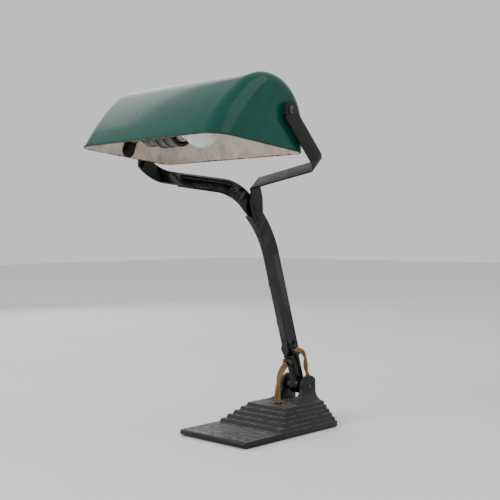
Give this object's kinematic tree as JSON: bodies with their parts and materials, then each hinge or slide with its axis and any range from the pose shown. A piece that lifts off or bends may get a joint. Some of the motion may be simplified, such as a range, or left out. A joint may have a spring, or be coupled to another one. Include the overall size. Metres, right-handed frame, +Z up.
{
  "type": "banker desk lamp",
  "caption": "Vintage desk lamp with a stepped cast iron base, a tilting forked arm and a tilting green enamelled half-round shade over a horizontal bulb.",
  "frame": {"origin": "centre of the base's underside, on the table", "axes": "+X to the lamp's right as seen from its front, +Y to the back, +Z up; the shade reaches out over the front, towards -Y"},
  "size_m": [0.2791, 0.2936, 0.4459],
  "materials": {
    "black_bakelite": "polished",
    "black_iron": "dusty black paint over cast iron",
    "black_steel": "glossy black stove enamel",
    "bright_steel": "dull steel",
    "dark_steel": "blackened and worn",
    "gold_cloth": "twisted braided cloth",
    "green_enamel": "glossy vitreous enamel",
    "green_felt": "matt felt",
    "nickel": "tarnished nickel plate",
    "old_brass": "tarnished",
    "opal_glass": "satin white glass",
    "strap_steel": "worn satin black",
    "white_porcelain": "glazed"
  },
  "bodies": {
    "base": {"base_casting": "black_iron", "base_felt": "green_felt", "front_grommet": "black_bakelite", "rear_grommet": "black_bakelite", "mains_inlet": "black_bakelite", "hinge_pin": "dark_steel", "hinge_spacers": "old_brass", "lead_front": "gold_cloth", "lead_rear": "gold_cloth"},
    "arm": {"arm_foot": "black_steel", "foot_rivets": "black_steel", "foot_bushing": "black_bakelite", "stem": "black_steel", "stem_bushing": "black_bakelite", "channel_keeper": "black_steel", "fork_strap": "strap_steel", "fork_rivets": "strap_steel", "lead_clips": "black_steel", "lead_stem": "gold_cloth", "right_pivot_screw": "dark_steel", "right_pivot_spacer": "bright_steel", "left_pivot_nipple": "old_brass", "left_pivot_spacer": "bright_steel", "left_outer_nut": "old_brass", "right_inner_washer": "bright_steel", "right_inner_nut": "bright_steel", "left_inner_nut": "old_brass"},
    "shade": {"shade": "green_enamel", "lampholder_bracket": "black_steel", "holder_nipple": "old_brass", "holder_nuts": "old_brass", "holder_cap": "black_bakelite", "holder_body": "black_bakelite", "holder_ring": "black_bakelite", "holder_contacts": "white_porcelain", "lead_holder": "gold_cloth", "bulb_glass": "opal_glass", "bulb_cap": "nickel", "bulb_filament": "bright_steel"}
  },
  "joints": [
    {"name": "arm_tilt", "type": "hinge", "parent": "base", "child": "arm", "pos_m": [0, 0.077, 0.052], "axis": [1, 0, 0], "range_deg": [-25, 25], "deforming": ["lead_front", "lead_rear"]},
    {"name": "shade_tilt", "type": "hinge", "parent": "arm", "child": "shade", "pos_m": [0, -0.0855, 0.403], "axis": [1, 0, 0], "range_deg": [-30, 35]}
  ]
}
